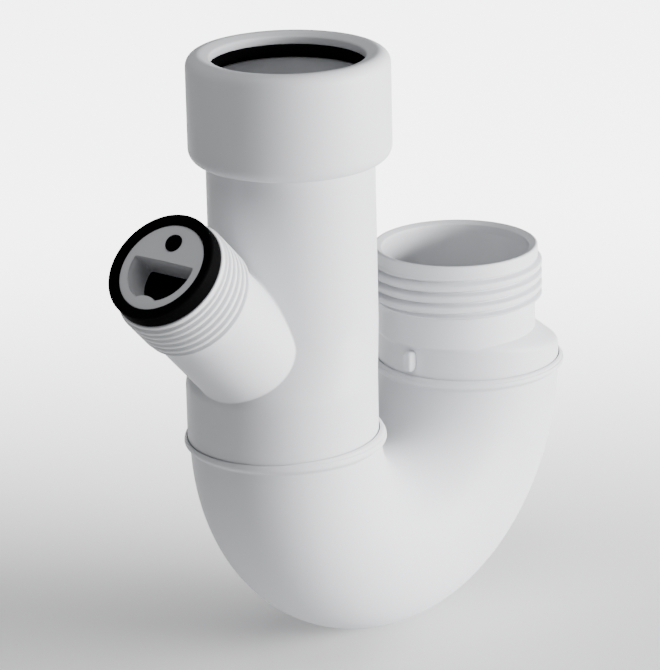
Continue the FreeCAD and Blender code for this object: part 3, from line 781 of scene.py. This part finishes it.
def makeStage():
    low, high = cadBox
    size, level = stageLook["size"], low.z - stageLook["drop"]
    mesh = bpy.data.meshes.new("floor")
    corners = [(-size, -size, level), (size, -size, level), (size, size, level), (-size, size, level)]
    mesh.from_pydata(corners, [], [(0, 1, 2, 3)])
    material = bpy.data.materials.new("paleFloor")
    material.use_nodes = True
    shader = material.node_tree.nodes["Principled BSDF"]
    shader.inputs["Roughness"].default_value = stageLook["rough"]
    shader.inputs["Emission Color"].default_value = (1, 1, 1, 1)
    make = nodeMaker(material)
    look = stageLook
    sine, cosine = np.sin(np.radians(cameraView["azimuth"])), np.cos(np.radians(cameraView["azimuth"]))
    where = make("ShaderNodeTexCoord").outputs["Object"]

    def along(direction):
        spot = make("ShaderNodeVectorMath", operation="DOT_PRODUCT")
        spot.inputs[1].default_value = direction
        material.node_tree.links.new(where, spot.inputs[0])
        return spot.outputs["Value"]

    def ramp(value, start, end, low, high):
        spans = {"Value": value, "From Min": start, "From Max": end, "To Min": low, "To Max": high}
        return make("ShaderNodeMapRange", spans, interpolation_type="SMOOTHSTEP").outputs["Result"]

    def combine(operation, first, second):
        node = make("ShaderNodeMath", {0: first}, operation=operation)
        if hasattr(second, "is_output"):
            material.node_tree.links.new(second, node.inputs[1])
        else:
            node.inputs[1].default_value = second
        return node.outputs[0]

    # the floor behind the object shines, in a fan that opens away from the camera
    depth = along((sine, cosine, 0))
    aside = make("ShaderNodeMath", {0: along((cosine, -sine, 0))}, operation="ABSOLUTE").outputs[0]
    spread = combine("DIVIDE", aside, combine("MAXIMUM", combine("ADD", depth, look["fanApex"]), 0.1))
    far = ramp(depth, look["glowStart"], look["glowEnd"], 0, look["farGlow"] - look["nearGlow"])
    fan = ramp(spread, look["fanFull"], look["fanEnd"], 1, 0)
    glow = combine("ADD", combine("MULTIPLY", far, fan), look["nearGlow"])

    # towards the camera it is darker, so that it throws less light back
    tone = make("ShaderNodeMix", data_type="RGBA")
    tone.inputs[6].default_value = look["pale"] + (1,)
    tone.inputs[7].default_value = look["front"] + (1,)
    material.node_tree.links.new(ramp(depth, look["frontEnd"], look["frontStart"], 1, 0), tone.inputs[0])
    material.node_tree.links.new(tone.outputs[2], shader.inputs["Base Color"])
    material.node_tree.links.new(glow, shader.inputs["Emission Strength"])
    mesh.materials.append(material)
    floor = bpy.data.objects.new("floor", mesh)
    bpy.context.scene.collection.objects.link(floor)


def makeLights():
    world = bpy.data.worlds.new("studio")
    world.use_nodes = True
    world.node_tree.nodes["Background"].inputs["Color"].default_value = lightLook["skyColor"] + (1,)
    world.node_tree.nodes["Background"].inputs["Strength"].default_value = lightLook["sky"]
    bpy.context.scene.world = world
    for look in lightLook["areas"]:
        data = bpy.data.lights.new(look["name"], "AREA")
        data.shape = "RECTANGLE"
        data.size = look["size"]
        data.size_y = look["height"]
        data.energy = look["power"]
        lamp = bpy.data.objects.new(look["name"], data)
        place = np.array(look["place"])
        back = place - np.array(lightLook["aim"])
        back /= np.linalg.norm(back)
        side = np.cross((0, 0, 1), back)
        side /= np.linalg.norm(side)
        axes = np.stack([side, np.cross(back, side), back], 1)
        lamp.matrix_world = Matrix(np.vstack([np.hstack([axes, place[:, None]]), [0, 0, 0, 1]]))
        bpy.context.scene.collection.objects.link(lamp)


def makeCamera():
    v = cameraView
    azimuth, elevation, roll = np.radians([v["azimuth"], v["elevation"], v["roll"]])
    right = np.array([np.cos(azimuth), -np.sin(azimuth), 0])
    ahead = np.array([np.sin(azimuth) * np.cos(elevation), np.cos(azimuth) * np.cos(elevation), -np.sin(elevation)])
    up = np.cross(right, ahead)
    axes = np.stack([
        right * np.cos(roll) + up * np.sin(roll), up * np.cos(roll) - right * np.sin(roll), -ahead,
    ], 1)
    data = bpy.data.cameras.new("photoCamera")
    data.lens = v["lens"]
    camera = bpy.data.objects.new("photoCamera", data)
    camera.matrix_world = Matrix(np.vstack([np.hstack([axes, np.array(v["place"])[:, None]]), [0, 0, 0, 1]]))
    bpy.context.scene.collection.objects.link(camera)
    bpy.context.scene.camera = camera


makeStage()
makeLights()
makeCamera()
print("stage, lights and camera set")
